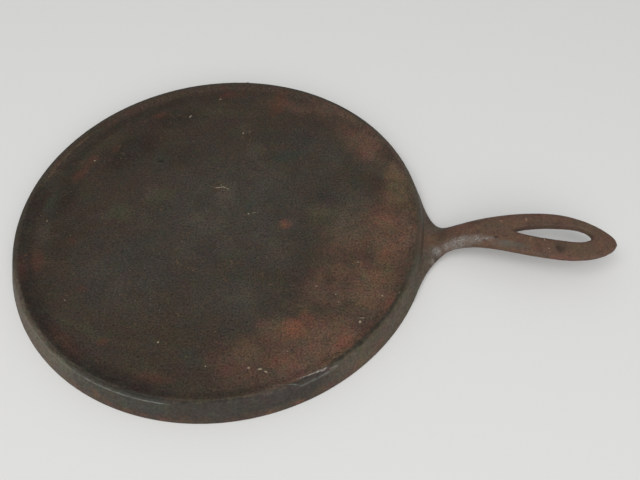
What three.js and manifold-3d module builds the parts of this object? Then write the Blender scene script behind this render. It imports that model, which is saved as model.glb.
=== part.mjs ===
// Round cast-iron griddle pan: a shallow plate in a flared side wall, and a rising handle with a loop.
// Millimetres, +Z up, +X along the handle. The pan stands on the foot of its side wall at z = 0.
// The real pan is one casting. Its three sections are modelled as separate solids that meet where they merge.

import * as THREE from 'three';
import { mergeVertices } from 'three/addons/utils/BufferGeometryUtils.js';
import Module from 'manifold-3d';

// Round pan
const footDiameter = 267;
const rimDiameter = 256.2;
const panHeight = 14.2;
const rimLandWidth = 2.9;
const recessDepth = 1.6;
const coveWidth = 3.2;
const plateThickness = 4.8;
const wallThickness = 5.2;
const undersideFillet = 2.5;
const edgeRounding = 1;
const seamInset = 3;

// Handle outline, with lengths along the handle
const handleReach = 111.5;
const neckWidth = 16.2;
const rootFlare = 35;
const rootFlareReach = 17;
const rootFlareSharpness = 2.5;
const rootOffset = -1;
const loopWidth = 33.2;
const loopEndLength = 36;
const loopEndSharpness = 0.61;
const loopOffset = 0.6;
const swellSharpness = 1.6;

// Handle thickness, and the heights of the middle of that thickness
const rootThickness = 8.4;
const neckThickness = 9.2;
const loopThickness = 4.8;
const tipRounding = 2.4;
const rootHeight = 4.3;
const crestHeight = 20;
const crestReach = 68;
const riseStart = 5.5;
const riseSharpness = 3.4;
const riseSoftness = 0.05;
const tipDroop = 3.8;
const droopSharpness = 1.5;

// Share of the thickness below the handle's widest line, and how round its section is (1 is an oval)
const rootLowness = 0.15;
const loopLowness = 0.45;
const neckRoundness = 0.9;
const loopRoundness = 0.45;

// Hanging slot, pointed towards the pan, round towards the tip, and cast a little off the loop's middle
const slotLength = 47;
const slotWidth = 10.2;
const slotEndLength = 12;
const slotPointSharpness = 0.7;
const slotToTip = 15;
const slotOffset = 1.1;
const slotEdgeRounding = 1.4;

// Clearance between the handle's root and the wall that it grows from
const rootClearance = 0.3;

// Fineness of the facets
const turnSteps = 120;
const roundingSteps = 3;
const handleStations = 52;
const sectionSteps = 24;
const slotSideSteps = 9;

const footRadius = footDiameter / 2;
const rimRadius = rimDiameter / 2;
const plateTop = panHeight - recessDepth;
const plateUnderside = plateTop - plateThickness;
const landInnerRadius = rimRadius - rimLandWidth;
const coveInnerRadius = landInnerRadius - coveWidth;
const seamRadius = coveInnerRadius - seamInset;
const handleTip = footRadius + handleReach;
const loopMiddle = handleTip - loopEndLength;
const crestPlace = footRadius + crestReach;

const wasm = await Module();
wasm.setup();

function toSolid(geometry) {
  const bare = geometry.clone();
  bare.deleteAttribute('normal');
  bare.deleteAttribute('uv');
  const merged = mergeVertices(bare);
  return new wasm.Manifold(
    new wasm.Mesh({
      numProp: 3,
      vertProperties: new Float32Array(merged.attributes.position.array),
      triVerts: new Uint32Array(merged.index.array),
    }),
  );
}

function toGeometry(solid) {
  const mesh = solid.getMesh();
  const geometry = new THREE.BufferGeometry();
  geometry.setAttribute('position', new THREE.BufferAttribute(new Float32Array(mesh.vertProperties), 3));
  geometry.setIndex(new THREE.BufferAttribute(new Uint32Array(mesh.triVerts), 1));
  geometry.computeVertexNormals();
  return geometry;
}

// A profile of radius and height turned about the pan's upright axis
function revolve(profile) {
  const geometry = new THREE.LatheGeometry(profile, turnSteps);
  geometry.rotateX(Math.PI / 2);
  return geometry;
}

// A skin over a row of outlines with the same number of points each, closed by a fan at both ends
function loft(outlines) {
  const count = outlines[0].length;
  const last = outlines.length - 1;
  const points = outlines.flat();
  const faces = [];
  for (let row = 0; row < last; row += 1) {
    for (let i = 0; i < count; i += 1) {
      const a = row * count + i;
      const b = row * count + ((i + 1) % count);
      faces.push(a, b, b + count);
      faces.push(a, b + count, a + count);
    }
  }
  for (const row of [0, last]) {
    const middle = new THREE.Vector3();
    outlines[row].forEach((point) => middle.addScaledVector(point, 1 / count));
    points.push(middle);
    for (let i = 0; i < count; i += 1) {
      const a = row * count + i;
      const b = row * count + ((i + 1) % count);
      const edge = row === 0 ? [b, a] : [a, b];
      faces.push(...edge, points.length - 1);
    }
  }
  const geometry = new THREE.BufferGeometry().setFromPoints(points);
  geometry.setIndex(faces);
  return geometry;
}

// Radius of the sloping outer face of the side wall at a height
function wallRadius(height) {
  return THREE.MathUtils.mapLinear(height, 0, panHeight, footRadius, rimRadius);
}

// Round plate that carries the cooking face
function griddlePlate() {
  return revolve([
    new THREE.Vector2(0, plateUnderside),
    new THREE.Vector2(seamRadius, plateUnderside),
    new THREE.Vector2(seamRadius, plateTop),
    new THREE.Vector2(0, plateTop),
  ]);
}

// Side wall: underside fillet, foot, sloping outer face, land of the rim, and cove down to the cooking face
function sideWall() {
  const innerRadius = (height) => wallRadius(height) - wallThickness;
  const section = new THREE.Path();
  section.moveTo(seamRadius, plateUnderside);
  section.lineTo(innerRadius(plateUnderside) - undersideFillet, plateUnderside);
  section.quadraticCurveTo(
    innerRadius(plateUnderside),
    plateUnderside,
    innerRadius(plateUnderside - undersideFillet),
    plateUnderside - undersideFillet,
  );
  section.lineTo(innerRadius(edgeRounding), edgeRounding);
  section.quadraticCurveTo(innerRadius(0), 0, innerRadius(0) + edgeRounding, 0);
  section.lineTo(footRadius - edgeRounding, 0);
  section.quadraticCurveTo(footRadius, 0, wallRadius(edgeRounding), edgeRounding);
  section.lineTo(wallRadius(panHeight - edgeRounding), panHeight - edgeRounding);
  section.quadraticCurveTo(rimRadius, panHeight, rimRadius - edgeRounding, panHeight);
  section.lineTo(landInnerRadius, panHeight);
  section.bezierCurveTo(
    landInnerRadius - coveWidth / 3,
    panHeight,
    landInnerRadius - coveWidth / 3,
    plateTop,
    coveInnerRadius,
    plateTop,
  );
  section.lineTo(seamRadius, plateTop);
  section.lineTo(seamRadius, plateUnderside);
  return revolve(section.getPoints(roundingSteps));
}

// The root's flare spreads over the wall's curve, and ends at the neck
const rootStart = Math.sqrt(footRadius ** 2 - (neckWidth / 2 + rootFlare) ** 2);
const neckPlace = footRadius + rootFlareReach;

// Half the handle's width at a distance from the axis: flared root, neck, then a loop with a drawn-in end
function handleHalfWidth(distance) {
  if (distance < neckPlace) {
    const back = Math.min(1, (neckPlace - distance) / (neckPlace - rootStart));
    return neckWidth / 2 + rootFlare * back ** rootFlareSharpness;
  }
  if (distance < loopMiddle) {
    const along = (distance - neckPlace) / (loopMiddle - neckPlace);
    const swell = Math.sin((along * Math.PI) / 2) ** swellSharpness;
    return THREE.MathUtils.lerp(neckWidth / 2, loopWidth / 2, swell);
  }
  const beyond = (distance - loopMiddle) / loopEndLength;
  return (loopWidth / 2) * Math.max(0, 1 - beyond ** 2) ** loopEndSharpness;
}

// How far the middle of the handle's width lies to the left of its line, as the casting runs a little askew
function handleSideways(distance) {
  const root = rootOffset * (1 - THREE.MathUtils.smoothstep(distance, footRadius, neckPlace));
  return root + loopOffset * THREE.MathUtils.smoothstep(distance, neckPlace, loopMiddle);
}

// Thickness at a distance: full at the root and neck, thin in the loop, rounded off at the very tip
function handleThickness(distance) {
  const toNeck = THREE.MathUtils.smoothstep(distance, footRadius, neckPlace);
  const toLoop = THREE.MathUtils.smoothstep(distance, neckPlace, loopMiddle);
  const neckAndRoot = THREE.MathUtils.lerp(rootThickness, neckThickness, toNeck);
  const full = THREE.MathUtils.lerp(neckAndRoot, loopThickness, toLoop);
  const intoTip = Math.max(0, distance - (handleTip - tipRounding)) / tipRounding;
  return full * Math.sqrt(Math.max(0, 1 - intoTip ** 2));
}

// Height of the middle of the handle: a steep rise out of the wall, a crest over the slot and a slight droop
function handleHeight(distance) {
  if (distance < crestPlace) {
    const along = (distance - footRadius - riseStart) / (crestReach - riseStart);
    const eased = (along + Math.sqrt(along ** 2 + riseSoftness ** 2)) / 2;
    return THREE.MathUtils.lerp(crestHeight, rootHeight, Math.abs(1 - eased) ** riseSharpness);
  }
  const beyond = (distance - crestPlace) / (handleTip - crestPlace);
  return crestHeight - tipDroop * beyond ** droopSharpness;
}

// Section across the handle: low and spread at the root, oval at the neck, a round-edged bar in the loop
function handleSection(distance) {
  const flatness = THREE.MathUtils.smoothstep(distance, neckPlace, loopMiddle);
  const roundness = THREE.MathUtils.lerp(neckRoundness, loopRoundness, flatness);
  const lift = THREE.MathUtils.smoothstep(distance, footRadius, neckPlace + rootFlareReach);
  const lowness = THREE.MathUtils.lerp(rootLowness, loopLowness, lift);
  const sideways = handleSideways(distance);
  const halfWidth = handleHalfWidth(distance);
  const thickness = handleThickness(distance);
  const outline = [];
  for (let i = 0; i < sectionSteps; i += 1) {
    const turn = (i / sectionSteps) * 2 * Math.PI;
    const across = Math.sign(Math.cos(turn)) * Math.abs(Math.cos(turn)) ** roundness;
    const up = Math.abs(Math.sin(turn)) ** roundness;
    const share = Math.sin(turn) > 0 ? lowness + (1 - lowness) * up : lowness * (1 - up);
    outline.push(new THREE.Vector3(distance, sideways + halfWidth * across, thickness * (share - 0.5)));
  }
  return outline;
}

// The handle's body before its slot, lying flat: its stations draw together towards the tip
function handleBody() {
  const start = rootStart - wallThickness / 2;
  const sections = [];
  for (let i = 0; i < handleStations; i += 1) {
    const along = Math.sin(((i / handleStations) * Math.PI) / 2);
    sections.push(handleSection(THREE.MathUtils.lerp(start, handleTip, along)));
  }
  return loft(sections);
}

// Outline of the slot at a height, grown all round by a margin
function slotOutline(height, margin) {
  const roundEnd = handleTip - slotToTip + margin;
  const point = handleTip - slotToTip - slotLength - margin;
  const endLength = slotEndLength + margin;
  const halfWidth = slotWidth / 2 + margin;
  const widest = roundEnd - endLength;
  const side = [];
  for (let i = 0; i < slotSideSteps; i += 1) {
    const along = i / slotSideSteps;
    const half = halfWidth * Math.sin((along * Math.PI) / 2) ** slotPointSharpness;
    side.push(new THREE.Vector2(THREE.MathUtils.lerp(point, widest, along), half));
  }
  for (let i = 0; i < slotSideSteps; i += 1) {
    const turn = ((i / slotSideSteps) * Math.PI) / 2;
    side.push(new THREE.Vector2(widest + endLength * Math.sin(turn), halfWidth * Math.cos(turn)));
  }
  const middle = loopOffset + slotOffset;
  const end = new THREE.Vector3(roundEnd, middle, height);
  const near = side.map((corner) => new THREE.Vector3(corner.x, middle - corner.y, height));
  const far = side.slice(1).map((corner) => new THREE.Vector3(corner.x, middle + corner.y, height));
  return [...near, end, ...far.reverse()];
}

// Cutter for the slot, widened above and below so that the slot's edges are rounded
function slotCutter() {
  const straight = loopThickness / 2 - slotEdgeRounding;
  const upper = [];
  for (let i = 0; i <= roundingSteps; i += 1) {
    const turn = ((i / roundingSteps) * Math.PI) / 2;
    upper.push([straight + slotEdgeRounding * Math.sin(turn), slotEdgeRounding * (1 - Math.cos(turn))]);
  }
  upper.push([loopThickness, slotEdgeRounding * 2]);
  const lower = upper.map(([height, margin]) => [-height, margin]).reverse();
  return loft([...lower, ...upper].map(([height, margin]) => slotOutline(height, margin)));
}

// The wall's outer slope and a clearance, as a solid that trims the handle's root
function wallEnvelope() {
  const below = -panHeight;
  const above = panHeight * 2;
  return revolve([
    new THREE.Vector2(0, below),
    new THREE.Vector2(wallRadius(below) + rootClearance, below),
    new THREE.Vector2(wallRadius(above) + rootClearance, above),
    new THREE.Vector2(0, above),
  ]);
}

// Handle: slotted while flat, then raised along its line and trimmed to the wall
function loopHandle() {
  const slotted = toGeometry(toSolid(handleBody()).subtract(toSolid(slotCutter())));
  const places = slotted.attributes.position;
  for (let i = 0; i < places.count; i += 1) {
    places.setZ(i, places.getZ(i) + handleHeight(places.getX(i)));
  }
  return toGeometry(toSolid(slotted).subtract(toSolid(wallEnvelope())));
}

const rustedIron = { color: 0x4a3a33, roughness: 0.72, metalness: 0.35 };
const wornIron = { color: 0x57504b, roughness: 0.55, metalness: 0.5 };
const seasonedIron = { color: 0x3a332f, roughness: 0.8, metalness: 0.3 };

function piece(name, geometry, finish) {
  const mesh = new THREE.Mesh(geometry, new THREE.MeshStandardMaterial(finish));
  mesh.name = name;
  return mesh;
}

// The origin lies on the table, under the middle of the pan and handle together
const griddlePan = new THREE.Group();
griddlePan.position.x = -(handleTip - footRadius) / 2;
griddlePan.add(piece('griddle_plate', griddlePlate(), seasonedIron));
griddlePan.add(piece('side_wall', sideWall(), wornIron));
griddlePan.add(piece('loop_handle', loopHandle(), rustedIron));

export default griddlePan;
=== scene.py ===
from math import copysign, cos, hypot, pi, radians, sin, sqrt

import bmesh
import bpy
from mathutils import Matrix, Vector, noise


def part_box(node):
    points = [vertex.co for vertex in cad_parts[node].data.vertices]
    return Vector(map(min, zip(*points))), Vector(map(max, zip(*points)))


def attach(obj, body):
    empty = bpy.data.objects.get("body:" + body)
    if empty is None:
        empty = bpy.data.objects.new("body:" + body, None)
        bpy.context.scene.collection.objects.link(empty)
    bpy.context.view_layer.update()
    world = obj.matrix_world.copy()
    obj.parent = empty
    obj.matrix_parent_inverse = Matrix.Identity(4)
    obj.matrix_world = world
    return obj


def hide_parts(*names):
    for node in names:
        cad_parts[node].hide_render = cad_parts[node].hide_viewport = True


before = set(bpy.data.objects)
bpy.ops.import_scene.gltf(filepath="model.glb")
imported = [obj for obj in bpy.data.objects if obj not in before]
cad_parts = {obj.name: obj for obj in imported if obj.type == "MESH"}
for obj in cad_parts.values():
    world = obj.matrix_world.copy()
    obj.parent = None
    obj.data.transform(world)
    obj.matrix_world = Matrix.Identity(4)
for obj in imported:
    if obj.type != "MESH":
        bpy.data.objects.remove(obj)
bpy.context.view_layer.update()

# Old griddle pan: one rusted iron casting, shown as its plate, its side wall and its handle.
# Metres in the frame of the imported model. Shapes are worked out in millimetres from the pan's upright axis.
mm = 0.001
scene = bpy.context.scene
scene.view_settings.view_transform = "Standard"

plateLow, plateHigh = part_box("griddle_plate")
wallLow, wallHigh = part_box("side_wall")
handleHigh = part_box("loop_handle")[1]
panX = (wallLow.x + wallHigh.x) / 2 / mm
footRadius = (wallHigh.y - wallLow.y) / 2 / mm
panHeight = wallHigh.z / mm
plateTop = plateHigh.z / mm
plateUnder = plateLow.z / mm
seamRadius = (plateHigh.y - plateLow.y) / 2 / mm
handleTip = handleHigh.x / mm - panX
print("frame read: foot", round(footRadius * 2, 1), "mm across, handle tip", round(handleTip, 1),
      "mm from the axis")

# Camera and light
view = {
    "place": (48.9, -269.8, 358.9),   # mm
    "aim": (8.85, -2.17, 0),          # where the middle of the picture meets the table
    "roll": -2.01,                    # degrees
    "focal": 39.375,                  # mm on a 36 mm frame
}


def addCamera():
    lens = bpy.data.cameras.new("camera")
    lens.lens = view["focal"]
    lens.sensor_width = 36
    camera = bpy.data.objects.new("camera", lens)
    scene.collection.objects.link(camera)
    place = Vector(view["place"]) * mm
    ahead = (Vector(view["aim"]) * mm - place).normalized()
    level = ahead.cross(Vector((0, 0, 1))).normalized()
    right = Matrix.Rotation(radians(-view["roll"]), 3, ahead) @ level
    up = right.cross(ahead)
    facing = Matrix((right, up, -ahead)).transposed().to_quaternion()
    camera.matrix_world = Matrix.LocRotScale(place, facing, None)
    scene.camera = camera


addCamera()
print("camera placed")


# Short ways to write nodes. newGroup and newMaterial set the tree that the nodes go into.
work = {}


def link(source, target):
    work["tree"].links.new(source, target)


def addNode(kind, inputs=None, **settings):
    node = work["tree"].nodes.new(kind)
    for name, value in settings.items():
        setattr(node, name, value)
    for name, value in (inputs or {}).items():
        if isinstance(value, bpy.types.NodeSocket):
            link(value, node.inputs[name])
        else:
            node.inputs[name].default_value = value
    return node


def calc(operation, a, b=0.0):
    return addNode("ShaderNodeMath", {0: a, 1: b}, operation=operation).outputs[0]


def times(a, b):
    return calc("MULTIPLY", a, b)


def plus(a, b):
    return calc("ADD", a, b)


def minus(a, b):
    return calc("SUBTRACT", a, b)


def larger(a, b):
    return calc("MAXIMUM", a, b)


def vectorCalc(operation, a, b=(0, 0, 0), output="Vector"):
    return addNode("ShaderNodeVectorMath", {0: a, 1: b}, operation=operation).outputs[output]


def scaled(vector, factor):
    return addNode("ShaderNodeVectorMath", {0: vector, "Scale": factor}, operation="SCALE").outputs[0]


def mixColor(amount, a, b, how="MIX"):
    return addNode("ShaderNodeMix", {0: amount, 6: a, 7: b}, data_type="RGBA", blend_type=how).outputs[2]


def mixValue(amount, a, b):
    return addNode("ShaderNodeMix", {0: amount, 2: a, 3: b}, data_type="FLOAT").outputs[0]


def ramp(value, low, high, toLow=0.0, toHigh=1.0):
    spans = {0: value, 1: low, 2: high, 3: toLow, 4: toHigh}
    return addNode("ShaderNodeMapRange", spans, interpolation_type="SMOOTHSTEP").outputs[0]


def newGroup(name, inputs, outputs):    # every group takes a place, and these inputs with their usual values
    tree = bpy.data.node_groups.new(name, "ShaderNodeTree")
    for label, value in {"place": (0, 0, 0), **inputs}.items():
        kind = "Vector" if isinstance(value, tuple) else "Float"
        socket = tree.interface.new_socket(name=label, in_out="INPUT", socket_type="NodeSocket" + kind)
        socket.default_value = value
    for label, kind in outputs.items():
        tree.interface.new_socket(name=label, in_out="OUTPUT", socket_type="NodeSocket" + kind)
    work["tree"] = tree
    return tree, tree.nodes.new("NodeGroupInput").outputs, tree.nodes.new("NodeGroupOutput").inputs


def useGroup(group, **inputs):
    return addNode("ShaderNodeGroup", inputs, node_tree=group).outputs


def tone(red, green, blue):    # a colour as a picture shows it, 0 to 255, turned to linear light
    shares = [value / 255 for value in (red, green, blue)]
    return tuple(s / 12.92 if s <= 0.04045 else ((s + 0.055) / 1.055) ** 2.4 for s in shares) + (1,)


glossLight = 0.009    # light that an iron surface's own gloss adds to its colour, taken off the colours below


def iron(red, green, blue, lift=1.0):    # a colour as the lit iron shows it, lifted on a steep surface
    return tuple(max(0.004, value * lift - glossLight) for value in tone(red, green, blue)[:3]) + (1,)


# Shared finish groups. Every place and size in them is in millimetres from the pan's axis.
maskOnly = {"mask": "Float"}


def cloudNoise(place, scale, detail, rough):
    settings = {"Vector": place, "Scale": scale, "Detail": detail, "Roughness": rough}
    return addNode("ShaderNodeTexNoise", settings).outputs


def cellNoise(place, size):
    settings = {"Vector": place, "Scale": calc("DIVIDE", 1.0, size), "Randomness": 1}
    return addNode("ShaderNodeTexVoronoi", settings).outputs


def turnedBack(vector, turn):
    settings = {"Vector": vector, "Angle": times(turn, -pi / 180)}
    return addNode("ShaderNodeVectorRotate", settings, rotation_type="Z_AXIS").outputs[0]


def combined(x, y, z):
    return addNode("ShaderNodeCombineXYZ", {0: x, 1: y, 2: z}).outputs[0]


def makeWarp():
    tree, given, out = newGroup("raggedEdges", {"reach": 4, "size": 12}, {"place": "Vector"})
    at = vectorCalc("DIVIDE", given["place"], combined(given["size"], given["size"], given["size"]))
    push = vectorCalc("SUBTRACT", cloudNoise(at, 1, 5, 0.65)["Color"], (0.5, 0.5, 0.5))
    link(vectorCalc("ADD", given["place"], scaled(push, given["reach"])), out["place"])
    return tree


def makePatch():
    usual = {"centre": (0, 0, 0), "size": (10, 10, 100), "turn": 0, "softness": 0.8}
    tree, given, out = newGroup("placedPatch", usual, maskOnly)
    turned = turnedBack(vectorCalc("SUBTRACT", given["place"], given["centre"]), given["turn"])
    away = vectorCalc("LENGTH", vectorCalc("DIVIDE", turned, given["size"]), output="Value")
    link(ramp(away, 1.0, minus(1.0, given["softness"])), out["mask"])
    return tree


def makeRingArc():    # a band round the axis, over a stretch of turn in degrees from the handle
    usual = {"inner": 100, "outer": 110, "edge": 1, "middle": 0, "halfSpan": 20, "ends": 6}
    tree, given, out = newGroup("ringArc", usual, maskOnly)
    flat = vectorCalc("MULTIPLY", given["place"], (1, 1, 0))
    radius = vectorCalc("LENGTH", flat, output="Value")
    rise = ramp(radius, minus(given["inner"], given["edge"]), given["inner"])
    fall = ramp(radius, plus(given["outer"], given["edge"]), given["outer"])
    middle = calc("RADIANS", given["middle"])
    aim = combined(calc("COSINE", middle), calc("SINE", middle), 0)
    facing = vectorCalc("DOT_PRODUCT", vectorCalc("NORMALIZE", flat), aim, output="Value")
    away = calc("DEGREES", calc("ARCCOSINE", facing))
    along = ramp(away, plus(given["halfSpan"], given["ends"]), given["halfSpan"])
    link(times(times(rise, fall), along), out["mask"])
    return tree


def makeCloud():
    tree, given, out = newGroup("mottle", {"size": 10, "seed": 0, "coverage": 0.5, "softness": 0.2}, maskOnly)
    cloud = addNode("ShaderNodeTexNoise", {
        "Vector": given["place"], "W": given["seed"], "Scale": calc("DIVIDE", 1.0, given["size"]),
        "Detail": 6, "Roughness": 0.6, "Distortion": 0.4}, noise_dimensions="4D").outputs[0]
    middle = minus(0.68, times(given["coverage"], 0.36))    # the noise level that covers about that share
    half = times(given["softness"], 0.5)
    link(ramp(cloud, minus(middle, half), plus(middle, half)), out["mask"])
    return tree


def makeGrain():
    usual = {"grainSize": 1.2, "pitSize": 2.4, "pitShare": 0.25}
    tree, given, out = newGroup("castGrain", usual, {"height": "Float", "speckle": "Float", "pits": "Float"})
    grain = cloudNoise(given["place"], calc("DIVIDE", 1.0, given["grainSize"]), 4, 0.7)[0]
    cell = cellNoise(given["place"], given["pitSize"])
    pick = addNode("ShaderNodeSeparateColor", {0: cell["Color"]}).outputs[0]
    hollow = ramp(cell["Distance"], 0.42, 0.05)
    pits = times(hollow, calc("LESS_THAN", pick, given["pitShare"]))
    link(minus(grain, pits), out["height"])
    link(grain, out["speckle"])
    link(pits, out["pits"])
    return tree


def makeFlecks():
    tree, given, out = newGroup("paleFlecks", {"spacing": 7, "share": 0.2, "size": 0.1}, maskOnly)
    cell = cellNoise(given["place"], given["spacing"])
    pick = addNode("ShaderNodeSeparateColor", {0: cell["Color"]}).outputs[1]
    spot = ramp(cell["Distance"], given["size"], times(given["size"], 0.4))
    link(times(spot, calc("LESS_THAN", pick, given["share"])), out["mask"])
    return tree


def makeScratches():
    tree, given, out = newGroup("hairScratches", {"turn": 0, "length": 30, "width": 0.8}, maskOnly)
    turned = turnedBack(given["place"], given["turn"])
    size = combined(given["length"], given["width"], 40.0)
    cloud = cloudNoise(vectorCalc("DIVIDE", turned, size), 1, 2, 0.5)[0]
    link(ramp(cloud, 0.58, 0.7), out["mask"])
    return tree


def makeHueGrain():    # small drifts of hue, as a factor for a colour
    tree, given, out = newGroup("hueGrain", {"size": 5, "depth": 0.4}, {"factor": "Color"})
    cloud = cloudNoise(given["place"], calc("DIVIDE", 1.0, given["size"]), 4, 0.75)["Color"]
    off = vectorCalc("SUBTRACT", cloud, (0.5, 0.5, 0.5))
    link(vectorCalc("ADD", scaled(off, given["depth"]), (1, 1, 1)), out["factor"])
    return tree


raggedEdges = makeWarp()
placedPatch = makePatch()
ringArc = makeRingArc()
mottle = makeCloud()
castGrain = makeGrain()
paleFlecks = makeFlecks()
hairScratches = makeScratches()
hueGrain = makeHueGrain()
print("finish groups made")


def panPlace():    # millimetres from the pan's axis, the same on every piece
    inMetres = addNode("ShaderNodeTexCoord").outputs["Object"]
    return vectorCalc("SUBTRACT", scaled(inMetres, 1 / mm), (panX, 0, 0))


def radiusOf(place):
    return vectorCalc("LENGTH", vectorCalc("MULTIPLY", place, (1, 1, 0)), output="Value")


def heightOf(place):
    return addNode("ShaderNodeSeparateXYZ", {0: place}).outputs[2]


def tint(color, shade):    # the colour made lighter or darker by a value
    grey = addNode("ShaderNodeCombineColor", {0: shade, 1: shade, 2: shade}).outputs[0]
    return mixColor(1.0, color, grey, "MULTIPLY")


def drift(color, place, size, depth):    # the colour with small drifts of hue
    factor = useGroup(hueGrain, place=place, size=size, depth=depth)["factor"]
    return mixColor(1.0, color, factor, "MULTIPLY")


def ragged(place, reach, size):
    return useGroup(raggedEdges, place=place, reach=reach, size=size)["place"]


def cloudMask(place, size, seed, coverage, softness):
    cloud = useGroup(mottle, place=place, size=size, seed=seed, coverage=coverage, softness=softness)
    return cloud["mask"]


patchWander = 9                # mm that ragged edges can carry a patch outwards
patchHeights = (12, 60)        # middle and half of the height that every patch takes in
spotRadii = (131, 9)           # middle and half of the radii that a spot on the wall takes in
speckleSpan = (0.25, 0.75)     # span of the grain that goes from darkest to lightest
roughSpan = (0.3, 0.7)         # span of the grain that goes from roughest to smoothest


def reaching(value, least):    # of a list of patches only those that reach past a radius, to save nodes
    if not isinstance(value, list) or len(value[0]) != 6:
        return value
    return [p for p in value if hypot(p[0], p[1]) + max(p[2], p[3]) + patchWander > least]


def strongest(masks):    # 0 where there are none
    best = None
    for mask in masks:
        best = mask if best is None else larger(best, mask)
    return 0.0 if best is None else best


def patchMask(place, patches, softness=0.8):    # x, y, half length, half width, turn and strength of each
    middle, half = patchHeights
    return strongest(
        times(useGroup(placedPatch, place=place, centre=(x, y, middle), size=(length, width, half),
                                  turn=turn, softness=softness)["mask"], strength)
        for x, y, length, width, turn, strength in patches)


def spotMask(place, spots, widest):    # turn, height, half length, half height and strength of each
    middle, half = spotRadii
    return strongest(
        times(useGroup(placedPatch, place=place, centre=(
            middle * cos(radians(turn)), middle * sin(radians(turn)), height),
            size=(half, length, tall), turn=turn)["mask"], strength)
        for turn, height, length, tall, strength in spots if abs(turn) <= widest)


def arcMask(place, arcs):    # inner and outer radius, edge, middle turn, half span, ends and strength of each
    return strongest(
        times(useGroup(ringArc, place=place, inner=inner, outer=outer, edge=edge, middle=middle,
                                  halfSpan=halfSpan, ends=ends)["mask"], strength)
        for inner, outer, edge, middle, halfSpan, ends, strength in arcs)


def paint(color, mask, shade, strength, least=None, breaks=None):    # breaks let the ground show through
    amount = times(mask, strength)
    if least is not None:
        amount = times(amount, mixValue(breaks, least, 1.0))
    return mixColor(amount, color, shade)


def marksMask(place, marks, widest):    # told apart by how many numbers each mark has
    kind = len(marks[0])
    if kind == 4:
        return cloudMask(place, *marks[0])
    if kind == 5:
        return spotMask(place, marks, widest)
    return (patchMask if kind == 6 else arcMask)(place, marks)


def wanders(place, ways):    # the place as it is, and shifted about to give each of these ragged edges
    return {"exact": place, **{name: ragged(place, *way) for name, way in ways.items()}}


def layered(color, finish, layers, places, breaks, widest=180):    # rows of marks over a colour
    for marks, way, shade, strength, *least in finish[layers]:
        if finish[marks]:
            mask = marksMask(places[way], finish[marks], widest)
            color = paint(color, mask, finish[shade], strength, *least, breaks=breaks)
    return color


def drifted(color, place, finish):
    for size, depth in finish["drifts"]:
        color = drift(color, place, size, depth)
    return color


def speckled(color, grain, finish):
    return tint(color, ramp(grain["speckle"], *speckleSpan, *finish["speckle"]))


def roughness(grain, finish):
    return ramp(grain["speckle"], *roughSpan, *finish["rough"])


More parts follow.
